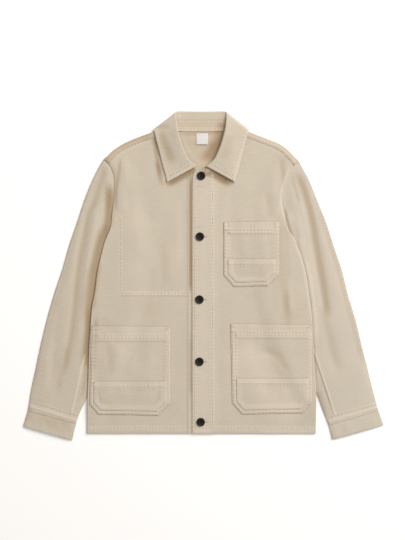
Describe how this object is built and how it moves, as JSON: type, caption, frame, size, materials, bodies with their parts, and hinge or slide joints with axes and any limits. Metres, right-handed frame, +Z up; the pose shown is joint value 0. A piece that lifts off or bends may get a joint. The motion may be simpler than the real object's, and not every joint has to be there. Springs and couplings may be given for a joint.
{
  "type": "overshirt",
  "caption": "Cotton-twill overshirt laid flat, front up: pointed collar, buttoned placket, chest and lower patch pockets, long sleeves with deep cuffs.",
  "frame": {"origin": "centre of the bounding box's underside, on the surface that the overshirt lies on", "axes": "+Z up out of the surface, +Y towards the collar, +X towards the wearer's left sleeve"},
  "size_m": [0.848, 0.774, 0.0141],
  "materials": {
    "twill": "matte cotton twill",
    "twill_inside": "matte cotton twill, inside face",
    "button": "satin near-black",
    "label": "plain woven white"
  },
  "bodies": {
    "root": {"back": "twill_inside", "front_right": "twill", "front_left": "twill", "sleeve_right": "twill", "sleeve_left": "twill", "cuff_right": "twill", "cuff_left": "twill", "collar_leaf": "twill", "collar_stand": "twill_inside", "pocket_chest": "twill", "pocket_chest_patch": "twill", "pocket_lower_left": "twill", "pocket_lower_left_patch": "twill", "pocket_lower_right": "twill", "pocket_lower_right_patch": "twill", "label_neck": "label", "button_1": "button", "button_2": "button", "button_3": "button", "button_4": "button", "button_5": "button"}
  },
  "joints": []
}
